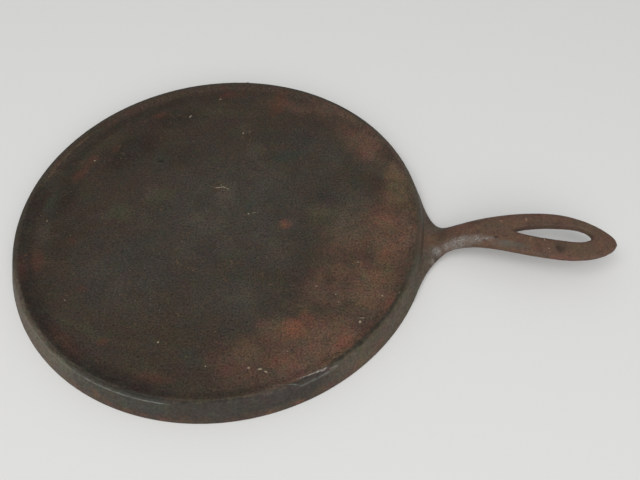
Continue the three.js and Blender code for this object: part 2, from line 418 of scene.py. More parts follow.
faceFinish = {
    "mauveIron": iron(59, 50, 44),
    "tanIron": iron(62, 53, 42),
    "coolIron": iron(67, 63, 56),
    "slateIron": iron(55, 52, 47),
    "tealIron": iron(53, 56, 47),
    "oliveIron": iron(68, 65, 49),
    "paleIron": iron(78, 71, 62),
    "darkBrown": iron(42, 35, 29),
    "purpleIron": iron(58, 46, 41),
    "rust": iron(104, 74, 62),
    "rustBrown": iron(97, 80, 63),
    "ochre": iron(98, 85, 63),
    "redRust": iron(113, 73, 58),
    "darkRed": iron(82, 53, 43),
    "orangeRust": iron(112, 86, 62),
    "darkIron": iron(40, 38, 32),
    "fleck": iron(158, 144, 122),
    "cool": [
        (8, 5, 96, 80, 20, 1.0), (52, 56, 44, 38, 30, 0.8), (-46, -48, 50, 44, -20, 0.9),
        (20, -60, 50, 30, 0, 0.8)],
    "slate": [
        (43, 74, 15, 15, 0, 0.9), (20, 75, 16, 10, 0, 0.7), (66, 25, 20, 12, 0, 0.6),
        (86, 37, 10, 9, 0, 0.7), (57, -22, 10, 22, 0, 0.5), (-46, -34, 20, 22, 30, 0.9),
        (-37, 0, 11, 15, 0, 0.7), (-62, -66, 14, 16, 30, 0.9), (-30, -52, 22, 12, 0, 0.5),
        (22, -80, 10, 8, 0, 0.9), (3, -98, 14, 7, 0, 0.9), (-20, 65, 16, 14, 0, 0.6),
        (2, -36, 13, 9, 0, 0.8), (-75, -30, 12, 10, 0, 0.5), (30, -30, 10, 8, 0, 0.4)],
    "teal": [
        (36, 57, 19, 10, 20, 1.0), (-50, 46, 12, 10, 0, 0.6), (-113, 0, 9, 20, 0, 0.8),
        (0, -24, 8, 8, 0, 0.4)],
    "olive": [
        (-65, -4, 16, 9, 0, 0.9), (66, 5, 12, 9, 0, 0.6), (-40, 16, 12, 9, 0, 0.7),
        (-56, -90, 30, 6, -20, 0.6), (-20, 95, 30, 8, 0, 0.5), (-90, 60, 16, 10, 50, 0.4),
        (-4, -52, 6, 6, 0, 0.7), (88, -50, 8, 8, 0, 0.4)],
    "pale": [
        (0, 21, 13, 16, 0, 0.9), (-8, -4, 20, 14, 20, 0.7), (-48, 17, 10, 8, 0, 0.6),
        (42, -26, 20, 18, 0, 0.5), (12, 60, 8, 12, 0, 0.5), (-12, -30, 8, 6, -30, 0.5),
        (2, 80, 8, 9, 0, 0.5), (-76, -8, 14, 5, 0, 0.6), (26, 36, 16, 10, 0, 0.4),
        (92, 58, 20, 16, -50, 0.7), (82, 14, 24, 34, 0, 0.9), (24, -58, 16, 12, 0, 0.4),
        (-108, -24, 8, 12, 20, 0.5)],
    "darkBrownPatches": [
        (-74, 50, 40, 24, 55, 1.0), (-106, 6, 16, 36, 0, 1.0), (-52, 86, 36, 14, 30, 0.8),
        (-98, -66, 16, 36, 35, 0.7), (-30, 110, 34, 10, 12, 0.5), (-94, -24, 22, 30, 0, 0.5),
        (-40, 50, 30, 20, 0, 0.4), (-62, -104, 40, 8, -33, 0.6)],
    "darkArcs": [
        (119, 125.2, 5, -140, 42, 12, 0.95), (113, 117, 3, 140, 22, 12, 0.7),
        (120.5, 126, 2, 112, 36, 22, 0.6)],
    "purple": [
        (-72, 80, 16, 16, 0, 0.9), (-40, 107, 18, 10, 10, 0.9), (100, 66, 12, 9, -50, 0.3),
        (-60, 96, 10, 8, 30, 0.6)],
    # rust, and painted sheen: these make the right side of the face lighter
    "rustAndSheenPatches": [
        (110, -2, 30, 46, 0, 1.0), (100, -44, 32, 34, 0, 0.95), (74, -88, 52, 30, 40, 1.0),
        (78, -43, 26, 26, 0, 0.75), (48, -78, 18, 15, 0, 0.8), (112, 44, 14, 22, 20, 0.8),
        (32, 106, 30, 11, -14, 0.45), (76, 84, 18, 16, -45, 0.5), (86, 74, 16, 30, 40, 0.8),
        (58, 104, 30, 14, -30, 0.6), (82, -10, 24, 30, 0, 0.6), (34, -98, 26, 22, 0, 0.6)],
    # rust, and painted light: a lighter, redder band on the back of the slope to the rim
    "rustAndSheenArcs": [(122, 125.4, 4, 92, 42, 22, 0.45), (123.5, 125.4, 3, 150, 18, 10, 0.25)],
    "ochrePatches": [
        (113, 30, 12, 16, 0, 0.8), (106, 50, 9, 12, -30, 0.6), (70, 12, 20, 5, 0, 0.4),
        (60, -60, 12, 8, 0, 0.4)],
    "reds": [
        (59, -75.5, 12, 10.5, 15, 1.0), (64, -68, 6, 7, 0, 0.5), (42, -1, 6, 5.5, 0, 0.65),
        (88.5, -81, 9, 7, 40, 0.6), (106, -19, 8, 8, 0, 0.45), (103, -36, 7, 9, 0, 0.4),
        (53, -97, 11, 6, 25, 0.35), (101, 10, 14, 14, 0, 0.3), (88, 68, 9, 12, -20, 0.3),
        (111, -54, 4, 8, -25, 0.5), (104, 30, 8, 6, 0, 0.2)],
    "darkReds": [
        (21, 110, 8, 20, -4, 0.9), (-101, 27, 5, 13, -22, 0.9), (-97, 41, 5, 7, 0, 0.9),
        (-84, 52, 4, 6, 0, 0.5), (27, -105, 10, 7, 0, 0.7), (-47, -95.7, 5, 3.2, 0, 0.8),
        (-104, -46, 6, 12, 20, 0.7), (-15, 114, 14, 5, 8, 0.7), (-62, 88, 8, 4, 30, 0.7),
        (118, -62, 3, 6, -30, 0.5), (-70, -62, 6, 4, 0, 0.5), (-12, -114, 16, 4, 0, 0.6),
        (-68, -98, 22, 6, -38, 0.5), (-112, -52, 5, 16, 25, 0.6), (-88, -28, 7, 6, 0, 0.4),
        (40, -86, 10, 6, 0, 0.3)],
    "spots": [
        (-50, 44.5, 3.4, 2.6, 20, 1.0), (-24.6, -102.3, 1.6, 1.2, 0, 0.9), (-16, -100, 1.3, 1.0, 0, 0.9),
        (75, -38, 7, 7, 0, 0.35), (78, -52, 5, 4, 0, 0.35), (-29, 90, 3, 1.5, 20, 0.6),
        (9, 92, 3, 1.4, 0, 0.6), (-26, 110, 4, 1.4, 20, 0.6), (64, 24, 6, 6, 0, 0.3),
        (88, -56, 6, 5, 0, 0.4)],
    "flecks": [
        (-5.6, 24.4, 3.6, 0.5, 10, 1.0), (-2.4, 25.2, 2.6, 0.45, -14, 0.9), (-4.4, 26.6, 0.4, 1.6, 20, 0.5),
        (0.6, 24, 1.4, 0.5, 0, 0.6), (18, 4.4, 0.9, 0.6, 0, 0.9), (21.4, 5.8, 2.0, 0.4, 20, 0.6),
        (-40, 89, 0.7, 2.1, -20, 0.9), (1, 76, 0.7, 1.8, 10, 0.7), (5.5, 78, 0.5, 1.0, 0, 0.5),
        (37.7, -102.4, 1.0, 0.7, 0, 0.9), (44, -102.5, 1.8, 0.7, 10, 1.0),
        (47.5, -103.7, 1.6, 0.6, -20, 0.9), (95.7, -67, 1.0, 1.2, 0, 1.0),
        (96.8, -64.2, 2.4, 0.45, 10, 0.7), (14, -104, 0.7, 0.6, 0, 0.8), (35, -121.5, 0.9, 0.6, 0, 0.9),
        (-95.4, 39.8, 1.1, 0.8, 0, 0.8), (-22.3, 109.2, 1.4, 0.6, 10, 0.9), (80, -50, 0.8, 0.6, 0, 0.5),
        (82, -55.3, 0.7, 0.6, 0, 0.45), (-15.8, -92.4, 0.8, 0.8, 0, 1.0), (91, -25.8, 0.9, 0.7, 0, 0.5),
        (57.3, -90, 0.7, 0.6, 0, 0.6), (-77.7, -71.2, 0.7, 0.6, 0, 0.6), (107, -48, 1.0, 0.7, 0, 0.7),
        (117, -46, 0.9, 1.2, -20, 0.7), (68, -45.6, 0.8, 0.6, 0, 0.6), (-109.4, -14.8, 0.8, 0.9, 0, 0.5)],
    # a pale line on the slope to the rim: painted highlight of the rim's inner edge
    "edgeScratches": [(122.8, 123.1, 0.5, 161, 9, 5, 0.8)],
    "scratches": (    # turn, length and width of the hair scratches
        (48, 26, 0.7), (-38, 34, 0.9), (8, 40, 0.8)),
    "wander": {"loose": (20, 18), "near": (6, 6), "slight": (0.8, 0.7)},    # reach and size in mm
    "grain": {"grainSize": 1.15, "pitSize": 2.6, "pitShare": 0.2},
    "mauveClouds": (15, 5, 0.5, 0.35),    # size, seed, coverage, softness, as in every cloud
    "rustClouds": (9, 15, 0.5, 0.3),
    "breakClouds": (4, 9, 0.6, 0.5),
    "scratchClouds": (20, 71, 0.5, 0.2),
    "tealClouds": [(11, 21, 0.35, 0.2)],
    "purpleClouds": [(13, 41, 0.32, 0.2)],
    "orangeClouds": [(3, 61, 0.04, 0.2)],
    "groundLayers": [    # marks, raggedness of edges, colour, strength, and any share that breaks leave
        ("darkBrownPatches", "loose", "darkBrown", 0.85, 0.7),
        ("pale", "loose", "paleIron", 0.7),
        ("olive", "loose", "oliveIron", 0.8),
        ("slate", "loose", "slateIron", 0.85, 0.7),
        ("teal", "loose", "tealIron", 0.85),
        ("purple", "loose", "purpleIron", 0.8)],
    "markLayers": [
        ("ochrePatches", "loose", "ochre", 0.7),
        ("darkArcs", "near", "darkBrown", 0.8),
        ("tealClouds", "exact", "tealIron", 0.38),
        ("purpleClouds", "exact", "purpleIron", 0.38),
        ("orangeClouds", "exact", "orangeRust", 0.38),
        ("darkReds", "near", "darkRed", 0.8, 0.6),
        ("reds", "near", "redRust", 0.9, 0.8),
        ("spots", "slight", "darkIron", 0.9)],
    "edgeHighlightLayers": [("edgeScratches", "slight", "ochre", 0.6, 0.2)],
    "dots": {"spacing": 3.6, "share": 0.22, "size": 0.13},
    "coolMauve": 0.45,              # share of the mauve clouds that the cool places keep
    "rustPaint": (0.95, 0.8),       # strength, and share that the breaks leave
    "scratchPaint": (0.28, 0.1), "dotPaint": (0.42, 0.2), "pitPaint": 0.35,
    "underEnd": (0.6, 2.4),         # mm above the plate's underside over which its plain finish ends
    "drifts": [(14, 0.4), (4, 0.6)],      # size in mm and depth of the drifts of hue
    "speckle": (0.4, 1.64),               # darkest and lightest of the grain
    "rough": (0.8, 0.6),
    "gloss": 0.25, "bump": 0.35,          # bump in mm
}


def faceLook(place, least=0.0):    # colour, roughness and height of the cooking face beyond a radius
    f = {name: reaching(value, least) for name, value in faceFinish.items()}
    places = wanders(place, f["wander"])
    grain = useGroup(castGrain, place=place, **f["grain"])
    breaks = cloudMask(place, *f["breakClouds"])
    mauve = cloudMask(place, *f["mauveClouds"])
    color = mixColor(mauve, f["tanIron"], f["mauveIron"])
    cool = mixColor(times(mauve, f["coolMauve"]), f["coolIron"], f["mauveIron"])
    color = mixColor(patchMask(places["loose"], f["cool"]), color, cool)
    color = layered(color, f, "groundLayers", places, breaks)
    # rust and painted sheen: redder, and lighter on the right side and on the back slope
    rust = larger(patchMask(places["loose"], f["rustAndSheenPatches"]), arcMask(places["near"], f["rustAndSheenArcs"]))
    rustAndSheenTone = mixColor(cloudMask(place, *f["rustClouds"]), f["rust"], f["rustBrown"])
    color = paint(color, rust, rustAndSheenTone, *f["rustPaint"], breaks)
    color = layered(color, f, "markLayers", places, breaks)
    color = drifted(color, place, f)
    # painted highlight on the rim's inner edge
    color = layered(color, f, "edgeHighlightLayers", places, breaks)
    color = speckled(color, grain, f)
    color = paint(color, grain["pits"], f["darkIron"], f["pitPaint"])
    if least == 0:
        lines = strongest(useGroup(hairScratches, place=place, turn=turn, length=length, width=width)["mask"]
                          for turn, length, width in f["scratches"])
        some = cloudMask(place, *f["scratchClouds"])
        color = paint(color, lines, f["paleIron"], *f["scratchPaint"], some)
    dots = useGroup(paleFlecks, place=place, **f["dots"])["mask"]
    color = paint(color, dots, f["fleck"], *f["dotPaint"], breaks)
    color = mixColor(patchMask(places["slight"], f["flecks"]), color, f["fleck"])
    return color, roughness(grain, f), grain["height"]


def underLook(place, color):    # plain iron on the unseen underside, in place of the face's marks
    f = faceFinish
    plain = mixColor(cloudMask(place, *f["mauveClouds"]), f["tanIron"], f["mauveIron"])
    low, high = f["underEnd"]
    return mixColor(ramp(heightOf(place), plateUnder + low, plateUnder + high), plain, color)


def newMaterial(name):
    material = bpy.data.materials.new(name)
    material.use_nodes = True
    work["tree"] = material.node_tree
    material.node_tree.nodes.clear()
    shader = addNode("ShaderNodeBsdfPrincipled")
    link(shader.outputs[0], addNode("ShaderNodeOutputMaterial").inputs[0])
    return material, shader


def surface(shader, finish, color, rough, height):
    link(color, shader.inputs["Base Color"])
    link(rough, shader.inputs["Roughness"])
    shader.inputs["Specular IOR Level"].default_value = finish["gloss"]
    bump = addNode("ShaderNodeBump", {"Strength": 1.0, "Distance": finish["bump"] * mm, "Height": height})
    link(bump.outputs[0], shader.inputs["Normal"])


def cookingFaceMaterial():
    material, shader = newMaterial("seasonedCookingFace")
    place = panPlace()
    color, rough, height = faceLook(place)
    surface(shader, faceFinish, underLook(place, color), rough, height)
    return material


wallLift = 0.97    # share that the colours of the steep wall are written at, against those of the level face
wallFinish = {
    "oliveIron": iron(84, 76, 65, wallLift),
    "brownIron": iron(80, 69, 58, wallLift),
    "paleOlive": iron(102, 93, 81, wallLift),
    "darkIron": iron(54, 49, 46, wallLift),
    "tealIron": iron(68, 67, 59, wallLift),
    "footRust": iron(85, 67, 56, wallLift),
    "orangeRust": iron(100, 73, 59, wallLift),
    "rimGreen": iron(54, 50, 43),
    "crust": iron(40, 38, 31),
    # pale worn iron, also the colour of a painted highlight
    "wornSheen": iron(126, 130, 124),
    "scratch": iron(165, 160, 150),
    "paleArcs": [(127.4, 140, 1, -140, 18, 14, 1.0)],
    "brownArcs": [(126.5, 140, 1, 120, 60, 20, 0.6)],
    "darkArcs": [(127.0, 140, 1, -78, 22, 12, 1.0), (127.0, 140, 1, -100, 6, 8, 0.5)],
    "tealArcs": [(126, 131, 1, -104, 10, 8, 0.8)],
    "footArcs": [
        (132.2, 140, 1.2, -98, 14, 8, 0.6), (132.4, 140, 1.2, -52, 24, 8, 0.6),
        (132.4, 140, 1.0, -130, 14, 10, 0.3), (131.5, 140, 1.6, 90, 90, 20, 0.5)],
    "rustSpots": [    # turn, height, half length, half height, strength
        (-110, 6, 6, 4, 1.0), (-117, 3.5, 7, 3, 0.8), (-106, 3.6, 5, 1.8, 0.8), (-101.3, 3, 5, 2, 1.0),
        (-97, 2.6, 5, 1.8, 0.9), (-92, 1.8, 5, 1.6, 0.8), (-88, 2, 5, 1.6, 0.6), (-67, 1.6, 6, 1.6, 0.8),
        (-60, 2.2, 6, 2.2, 0.8), (-52, 2.6, 5, 2.6, 0.6), (-43, 3.4, 6, 3, 0.6), (-35, 4.5, 6, 4, 0.6),
        (-128, 3.5, 9, 2.2, 0.4), (20, 5, 6, 3, 0.6)],
    "rootBrown": iron(88, 70, 58),
    "rootPatches": [(127, -3, 3.6, 17, 0, 0.9)],
    "landArcs": [(126.2, 127.6, 0.9, 0, 180, 1, 1.0)],
    "rimGreenArcs": [(125.8, 128.7, 0.6, 125, 73, 16, 0.85)],
    "crustArcs": [
        (126.3, 126.7, 0.7, -105, 19, 8, 0.6), (125.6, 126.3, 1.5, -33, 14, 5, 0.85),
        (125.6, 126.2, 1.6, -8, 13, 10, 0.35)],
    "crustSpots": [
        (87.5, -91.2, 4.6, 1.7, 46, 1.0), (97, -81.4, 6, 1.9, 50, 1.0), (105, -70, 6, 2.0, 57, 0.95),
        (112.5, -58, 4, 1.3, 62, 0.6), (119, -43, 5, 1.5, 70, 0.6), (124, -16, 1.6, 5, 0, 0.4),
        (124.5, 8, 1.4, 5, 0, 0.35), (122.5, 22, 1.2, 3, 15, 0.35)],
    # bright worn lines on the rim: wear, and a painted highlight where the edge catches the light
    "wornSheenArcs": [
        (128.25, 128.35, 0.3, -102.5, 9, 5, 0.8), (128.2, 128.5, 0.4, -124, 12, 6, 0.25),
        (128.7, 128.9, 0.3, -53.5, 4.6, 1.5, 0.45)],
    "wornSheenPatches": [(54.4, -111.5, 7, 0.45, 9.5, 0.5), (63.5, -110.1, 4, 0.5, 6, 0.6)],
    "scratchPatches": [
        (68.5, -105.2, 4.4, 0.4, 29, 0.6), (72.5, -103, 4, 0.55, 31, 0.8), (76, -101, 3.2, 0.7, 36, 1.0),
        (78.8, -99.5, 2.8, 0.75, 40, 1.0), (84, -97, 4, 0.4, 35, 0.5)],
    "faceEdge": 125.6,    # radius in mm where the face's finish ends
    "paintedSideLight": 0.05,     # painted light: share by which the side away from the lamp is painted lighter and the other darker
    "sideReach": 135,     # mm to each side over which it goes from one to the other
    "wander": {"near": (5, 7), "loose": (12, 14)},
    "rimWander": {"crumbly": (2.4, 3), "slight": (0.7, 2)},
    "edgeWander": (2.2, 4),
    "grain": {"grainSize": 1.6, "pitSize": 2.8, "pitShare": 0.14},
    "brownClouds": (12, 3, 0.4, 0.4),
    "breakClouds": (4, 7, 0.55, 0.4),
    "rimBreakClouds": (2.5, 31, 0.6, 0.3),
    "streakClouds": (3, 37, 0.55, 0.3),
    "dottedClouds": (1.3, 43, 0.6, 0.2),
    "tealClouds": [(7, 17, 0.3, 0.25)],
    "layers": [
        ("brownArcs", "loose", "brownIron", 0.8),
        ("paleArcs", "loose", "paleOlive", 0.85, 0.6),
        ("darkArcs", "loose", "darkIron", 0.9, 0.75),
        ("tealArcs", "near", "tealIron", 0.8),
        ("tealClouds", "exact", "tealIron", 0.3),
        ("footArcs", "near", "footRust", 0.9, 0.35),
        ("rustSpots", "near", "orangeRust", 0.9, 0.1)],
    "rimLayers": [
        ("rimGreenArcs", "crumbly", "rimGreen", 0.8),
        ("rootPatches", "crumbly", "rootBrown", 0.8, 0.5)],
    "landShade": 0.82,           # the land is written this much darker
    "edgeSoftness": 0.9,         # mm to each side of faceEdge
    "topStart": (7.5, 9.5),      # heights between which the rim's marks set in, so none is on the underside
    "crustPaint": (0.95, 0.45), "scratchPaint": (0.9, 0.2), "streakShares": (0.25, 0.8), "pitPaint": 0.4,
    "drifts": [(12, 0.6), (4, 0.5)],
    "speckle": (0.7, 1.32),
    "rough": (0.75, 0.58), "wornRough": 0.45,
    "relief": 0.6,        # share of the grain's depth
    "gloss": 0.3, "bump": 0.35,
}


def wallLook(place, widest=180):    # colour, roughness and height of the outer wall, up to a turn
    f = wallFinish
    grain = useGroup(castGrain, place=place, **f["grain"])
    places = wanders(place, f["wander"])
    breaks = cloudMask(place, *f["breakClouds"])
    color = mixColor(cloudMask(place, *f["brownClouds"]), f["oliveIron"], f["brownIron"])
    color = layered(color, f, "layers", places, breaks, widest)
    color = speckled(drifted(color, place, f), grain, f)
    color = paint(color, grain["pits"], f["darkIron"], f["pitPaint"])
    across = addNode("ShaderNodeSeparateXYZ", {0: place}).outputs[0]
    # painted light: the wall lighter on the side away from the lamp and darker on the other
    color = tint(color, ramp(across, -f["sideReach"], f["sideReach"], 1 - f["paintedSideLight"], 1 + f["paintedSideLight"]))
    return color, roughness(grain, f), times(grain["height"], f["relief"])


def rimLook(place, color):    # the rim's land: green edge, dark crust, worn bright edges with a painted highlight, and scratches
    f = wallFinish
    places = wanders(place, f["rimWander"])
    slight = places["slight"]
    breaks = cloudMask(place, *f["rimBreakClouds"])
    streaks = cloudMask(place, *f["streakClouds"])
    onLand = arcMask(slight, f["landArcs"])
    color = tint(color, mixValue(onLand, 1.0, f["landShade"]))
    color = layered(color, f, "rimLayers", places, breaks)
    crust = larger(arcMask(places["crumbly"], f["crustArcs"]), patchMask(slight, f["crustSpots"]))
    color = paint(color, crust, f["crust"], *f["crustPaint"], breaks)
    # worn bright lines: wear with a painted highlight
    wornSheen = larger(arcMask(slight, f["wornSheenArcs"]), patchMask(slight, f["wornSheenPatches"]))
    wornSheen = times(wornSheen, mixValue(streaks, *f["streakShares"]))
    color = mixColor(wornSheen, color, f["wornSheen"])
    scratch = patchMask(slight, f["scratchPatches"])
    dotted = cloudMask(place, *f["dottedClouds"])
    return paint(color, scratch, f["scratch"], *f["scratchPaint"], dotted), wornSheen


def rimAndWallMaterial():
    f = wallFinish
    material, shader = newMaterial("wornRimAndWall")
    place = panPlace()
    faceColor, faceRough, faceHeight = faceLook(place, seamRadius)
    faceColor = underLook(place, faceColor)
    wallColor, wallRough, wallHeight = wallLook(place)
    radius = radiusOf(ragged(place, *f["edgeWander"]))
    onWall = ramp(radius, f["faceEdge"] - f["edgeSoftness"], f["faceEdge"] + f["edgeSoftness"])
    ground = mixColor(onWall, faceColor, wallColor)
    color, wornSheen = rimLook(place, ground)
    onTop = ramp(heightOf(place), *f["topStart"])
    color = mixColor(onTop, ground, color)
    rough = mixValue(wornSheen, mixValue(onWall, faceRough, wallRough), f["wornRough"])
    surface(shader, f, color, rough, mixValue(onWall, faceHeight, wallHeight))
    return material


handleFinish = {
    "brownRust": iron(90, 71, 59),
    "redRust": iron(97, 67, 56),
    "oliveRust": iron(86, 74, 58),
    "orangeRust": iron(107, 80, 59),
    # dark rust, also used as painted shade at the root and in the slot
    "darkRust": iron(52, 42, 36),
    "greenIron": iron(88, 90, 80),
    "greyIron": iron(98, 92, 87),
    # pale iron for the worn shine, which is a painted highlight as well as wear
    "wornSheen": iron(158, 154, 149),
    "fleck": iron(150, 122, 104),
    "rootRust": [(139, -1.5, 12, 8, 0, 1.0), (131, -2, 8, 10, 0, 0.9), (137, -16, 4, 4, 50, 0.3)],
    # painted shade where the handle's root meets the wall
    "rootShade": [(142, 7, 6, 4.5, -20, 0.7), (134, 15, 5, 9, 25, 0.5), (141, 2, 7, 6, 0, 0.5)],
    # painted shade on the slot's inner walls
    "slotShade": [(206, 2.5, 26.5, 8.2, 2, 0.42)],
    "red": [
        (150, 4.5, 16, 3.6, 4, 0.9), (196, 13.5, 18, 4, -4, 0.7), (213, -15.6, 26, 1.5, 4, 0.9),
        (238, 3, 8, 5, -40, 0.5)],
    "olive": [
        (224, -8, 16, 7, 8, 0.7), (232, 7, 12, 6, -30, 0.5), (205, 12, 10, 5, 0, 0.4),
        (176, 4, 10, 5, 0, 0.5)],
    "orange": [
        (184, 6, 10, 4, 20, 0.6), (172, 6.5, 6, 3, 0, 0.5), (192, -8, 5, 4, 0, 0.5),
        (134, -1, 5, 4, 0, 0.5)],
    "green": [(181, -9.8, 15, 2.7, -4, 0.8), (141, 9, 6, 5, -30, 0.8), (140, -22, 7, 4, 60, 0.5)],
    "grey": [(152, -6.5, 19, 5.5, 3, 0.8), (178, -8.4, 10, 2.4, -6, 0.7), (138, -10, 6, 7, 0, 0.6)],
    # worn shine on the neck: polished wear with a painted highlight
    "shine": [
        (151, -5.8, 9, 4.2, 6, 1.0), (160, -5.8, 9, 3.6, 0, 0.9), (168, -6, 6, 2.6, -6, 0.7),
        (138.2, -9.5, 4, 3.8, 20, 1.0), (144, -7, 4, 3, 20, 0.7), (136, -16, 4, 2.6, 50, 0.6)],
    "dark": [
        (209.2, -9.2, 5, 5, 0, 0.75), (208.2, -8.8, 2.4, 3.0, 0, 0.9), (171.5, -5.4, 2.4, 1.5, 0, 1.0),
        (170.8, -2.6, 0.6, 3.2, 0, 0.6), (147, 6.8, 3.6, 1.8, 4, 0.8), (159, 6.6, 5, 1.4, 4, 0.6),
        (196, 14.6, 8, 1.5, 0, 0.4), (138, -13, 3, 3, 0, 0.6), (151, -8.5, 3, 1, 0, 0.5)],
    "flecks": [
        (192.5, -4.1, 0.7, 0.5, 0, 1.0), (191.6, -6, 0.6, 0.5, 0, 0.8), (200.4, -4.6, 0.5, 1.6, 10, 0.9),
        (202.7, -10.7, 0.7, 0.7, 0, 1.0), (203, -13, 0.6, 0.5, 0, 0.7), (190.6, 9.9, 0.6, 1.8, 10, 0.8),
        (175.3, 7, 1.2, 0.6, 0, 0.8), (234, -13.6, 1.0, 0.6, 20, 1.0), (152, 6.5, 0.8, 0.6, 0, 0.7)],
    "wander": {"near": (3, 4), "slight": (0.9, 1.2)},
    "rootWander": (5, 5),
    "grain": {"grainSize": 1.2, "pitSize": 2.4, "pitShare": 0.2},
    "breakClouds": (2, 23, 0.5, 0.3),
    "redClouds": (8, 11, 0.45, 0.4),
    "shineClouds": (0.7, 47, 0.45, 0.2),
    "oliveClouds": [(10, 19, 0.4, 0.35)],
    "darkClouds": [(4, 13, 0.3, 0.25)],
    "orangeClouds": [(3, 29, 0.25, 0.2)],
    "groundLayers": [
        ("oliveClouds", "exact", "oliveRust", 0.6),
        ("darkClouds", "exact", "darkRust", 0.35),
        ("orangeClouds", "exact", "orangeRust", 0.5),
        ("olive", "near", "oliveRust", 0.8),
        ("red", "near", "redRust", 0.8),
        ("orange", "near", "orangeRust", 0.7, 0.5)],
    "markLayers": [
        # the first row is painted shade where the root meets the wall
        ("rootShade", "near", "darkRust", 0.7, 0.7),
        ("grey", "near", "greyIron", 0.7, 0.5),
        ("green", "slight", "greenIron", 0.8, 0.6),
        ("dark", "slight", "darkRust", 0.95)],
    "slotSoftness": 0.35, "slotPaint": 0.9, "pitPaint": 0.4,
    "streaks": {"turn": 4, "length": 2.6, "width": 0.8},
    "fineShare": 0.75, "shineShares": (0.04, 0.95), "wornSheenLeast": 0.5,    # breaking up of the worn shine, which is wear with a painted highlight
    "drifts": [(4, 0.5)],
    "speckle": (0.72, 1.3),
    "rough": (0.75, 0.55), "shineRough": 0.42,
    "relief": 0.8,             # share of the grain's depth
    "rootEnd": (137, 145),    # mm from the axis over which the wall's finish gives way to the handle's
    "gloss": 0.35, "bump": 0.3,
}


def handleLook(place, ground, past):    # colour, roughness and height of the handle, past its root
    f = handleFinish
    grain = useGroup(castGrain, place=place, **f["grain"])
    places = wanders(place, f["wander"])
    breaks = cloudMask(place, *f["breakClouds"])
    color = mixColor(cloudMask(place, *f["redClouds"]), f["brownRust"], f["redRust"])
    color = layered(color, f, "groundLayers", places, breaks)
    color = speckled(drifted(color, place, f), grain, f)
    color = mixColor(past, ground, color)
    color = layered(color, f, "markLayers", places, breaks)
    # painted shade in the slot
    color = paint(color, patchMask(place, f["slotShade"], f["slotSoftness"]), f["darkRust"], f["slotPaint"])
    color = paint(color, grain["pits"], f["darkRust"], f["pitPaint"])
    fine = cloudMask(place, *f["shineClouds"])
    streaks = useGroup(hairScratches, place=places["slight"], **f["streaks"])["mask"]
    fine = larger(times(fine, f["fineShare"]), streaks)
    # the worn shine: wear, and a painted highlight
    shine = times(patchMask(places["near"], f["shine"]), mixValue(fine, *f["shineShares"]))
    color = mixColor(times(shine, mixValue(breaks, f["wornSheenLeast"], 1.0)), color, f["wornSheen"])
    color = mixColor(patchMask(places["slight"], f["flecks"]), color, f["fleck"])
    rough = mixValue(shine, roughness(grain, f), f["shineRough"])
    return color, rough, times(grain["height"], f["relief"])


rootTurn = 50    # degrees to each side that the handle's root can reach


def handleMaterial():
    f = handleFinish
    material, shader = newMaterial("rustedHandle")
    place = panPlace()
    wallColor, wallRough, wallHeight = wallLook(place, rootTurn)
    crumbly = ragged(place, *f["rootWander"])
    along = addNode("ShaderNodeSeparateXYZ", {0: crumbly}).outputs[0]
    past = larger(ramp(along, *f["rootEnd"]), patchMask(crumbly, f["rootRust"]))
    color, rustRough, rustHeight = handleLook(place, wallColor, past)
    surface(shader, f, color, mixValue(past, wallRough, rustRough), mixValue(past, wallHeight, rustHeight))
    return material


# Relief of the cast surface, as real shape: shallow swells, roughness and scattered pits
relief = {
    "swell": (24, 0.10),     # size and depth in mm
    "rough": (4.2, 0.07),
    "grain": (1.9, 0.045),
    "grainShift": (7, 3, 11),
    "pits": (3.4, 0.16),
    "pitShift": (31, 17, 5),
    "pitLevel": 0.38,        # noise above this level makes a pit
    "pitSlope": 2,
    "dents": [    # place, reach, depth
        (-50, 44.5, 2.6, 0.4), (-24.6, -102.3, 1.2, 0.3), (-16, -100, 1.0, 0.3), (75, -38, 5, 0.15),
        (209, -9.6, 3.2, 0.5), (171.5, -5.4, 1.6, 0.35), (147, 6.8, 2.4, 0.25)],
    "burr": (-5.2, 128.4, 1.3, 0.6),    # a grain of iron on the rim's outer edge at the back
}
sharpAngle = 50    # degrees; edges that turn more stay sharp


def reliefAt(x, y, z, strength=1.0):
    place = Vector((x, y, z))
    size, depth = relief["swell"]
    height = depth * noise.noise(place / size)
    size, depth = relief["rough"]
    height += depth * noise.fractal(place / size, 1.0, 2.0, 2)
    size, depth = relief["grain"]
    height += depth * noise.noise(place / size + Vector(relief["grainShift"]))
    size, depth = relief["pits"]
    pit = noise.noise(place / size + Vector(relief["pitShift"])) - relief["pitLevel"]
    height -= depth * max(0.0, pit) * relief["pitSlope"]
    return height * strength


def dentAt(x, y):    # how deep the single dents go at a place
    return sum(depth * max(0.0, 1 - (hypot(x - cx, y - cy) / reach) ** 2) ** 2
               for cx, cy, reach, depth in relief["dents"])


def meshObject(name, points, faces, material):    # points in mm from the pan's axis
    mesh = bpy.data.meshes.new(name)
    mesh.from_pydata([((x + panX) * mm, y * mm, z * mm) for x, y, z in points], [], faces)
    mesh.validate()
    mesh.polygons.foreach_set("use_smooth", [True] * len(mesh.polygons))
    mesh.set_sharp_from_angle(angle=radians(sharpAngle))
    mesh.materials.append(material)
    piece = bpy.data.objects.new(name, mesh)
    scene.collection.objects.link(piece)
    return piece


# Cooking plate: a disc of near-square cells, finer above than below
plateShape = {
    "cells": 258,          # across the top; the rim ring then has four times as many points
    "underCells": 129,
    "underRelief": 1.2,    # strength of the relief below
}
ringSteps = plateShape["cells"] * 4


